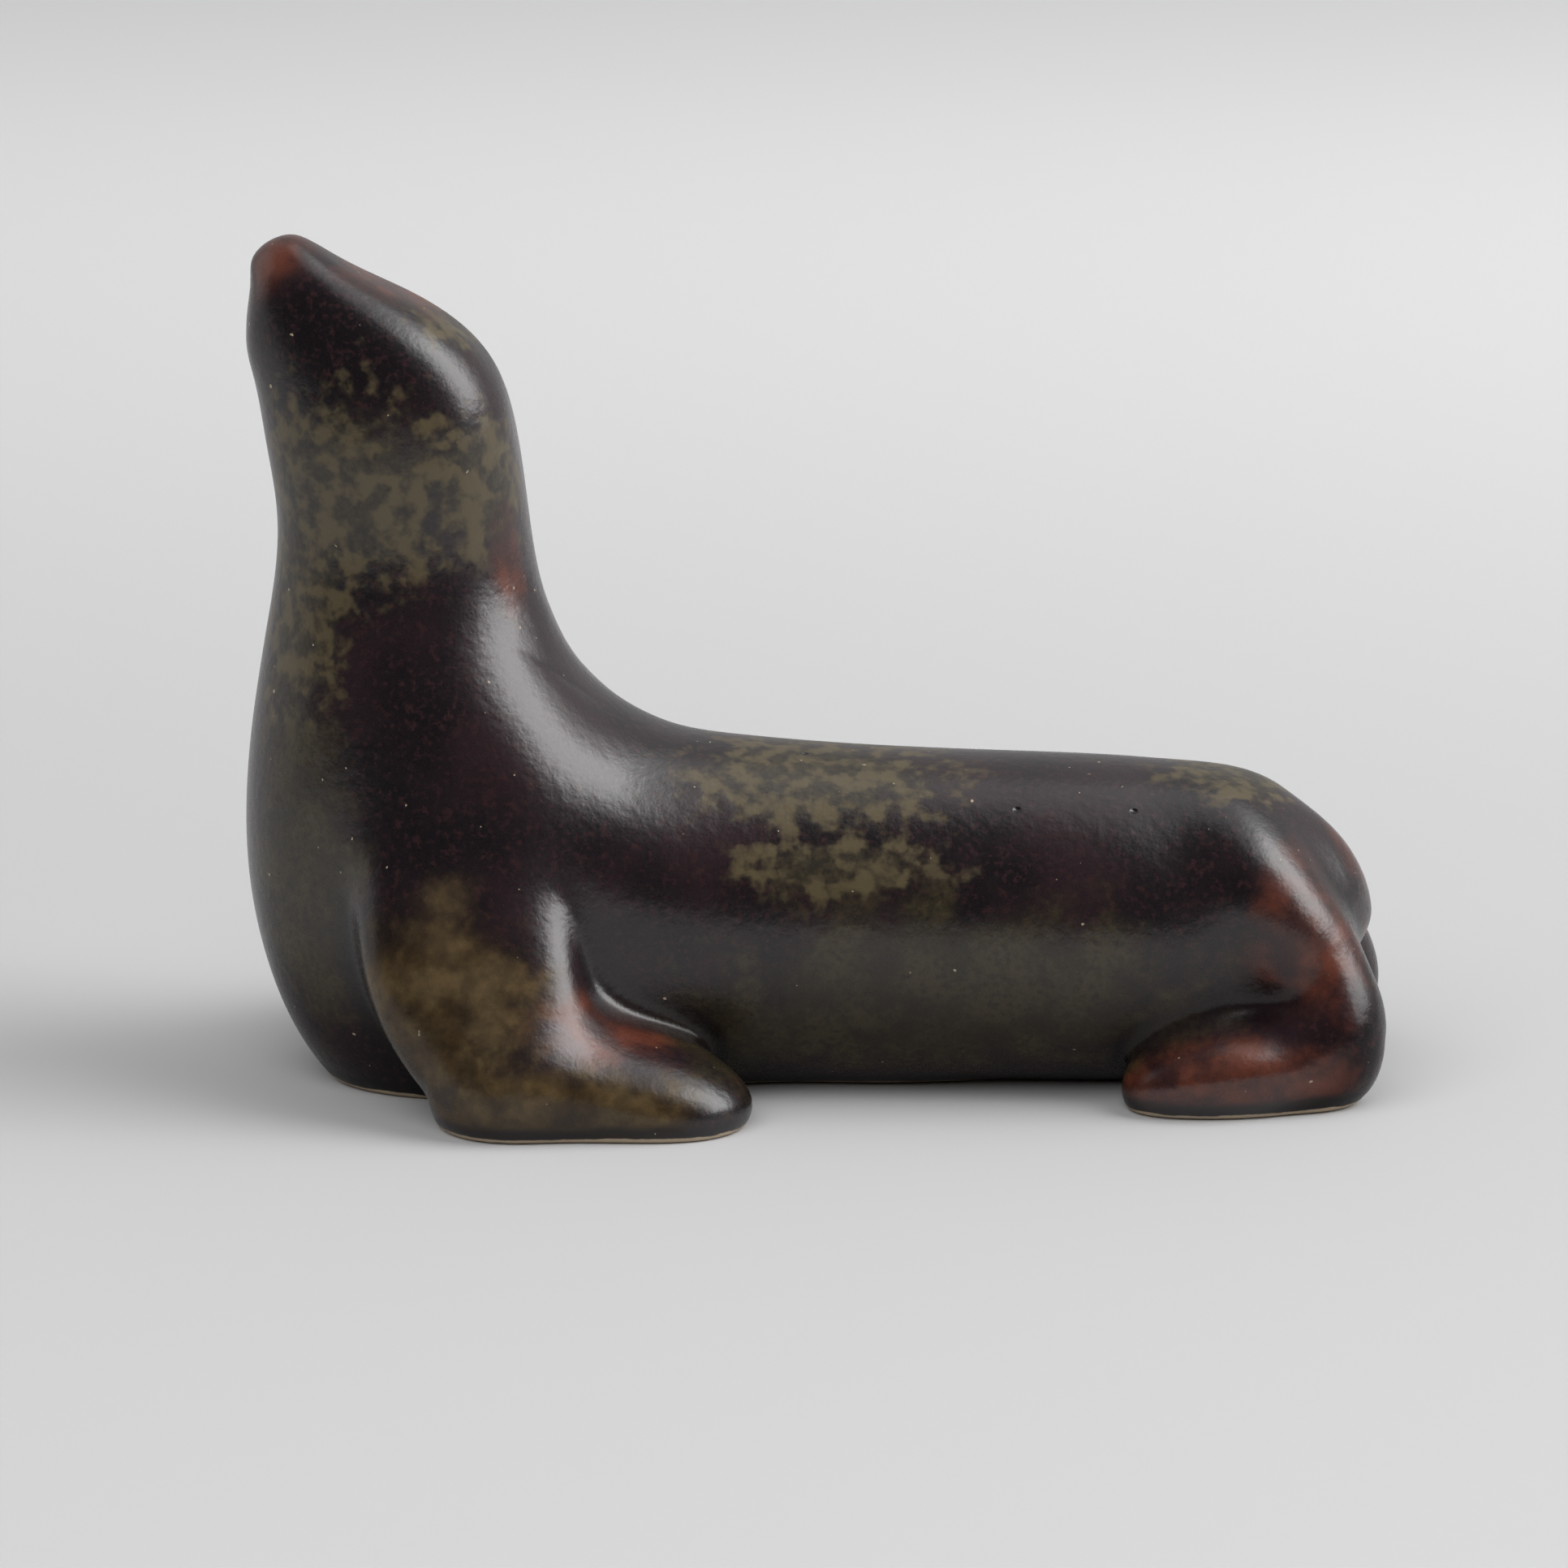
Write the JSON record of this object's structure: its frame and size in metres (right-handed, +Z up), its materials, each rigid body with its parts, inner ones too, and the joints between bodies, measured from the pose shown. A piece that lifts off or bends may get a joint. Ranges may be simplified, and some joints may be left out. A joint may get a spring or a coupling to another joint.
{
  "type": "stoneware sea lion figure",
  "caption": "Glazed stoneware figure of a resting sea lion with its head raised, standing on a flat ground base.",
  "frame": {"origin": "middle of the figure's bounding box, on the surface it stands on", "axes": "+Z up; -X the way the animal looks and +X towards its tail, the longest side; -Y its own left side; +Y its own right side"},
  "size_m": [0.1738, 0.0919, 0.1296],
  "materials": {
    "glaze": "satin aubergine-brown glaze mottled with olive, rust red where it is thin, with a fine orange-peel surface; ground base of bare pale stoneware"
  },
  "bodies": {
    "root": {"sea_lion": "glaze"}
  },
  "joints": []
}
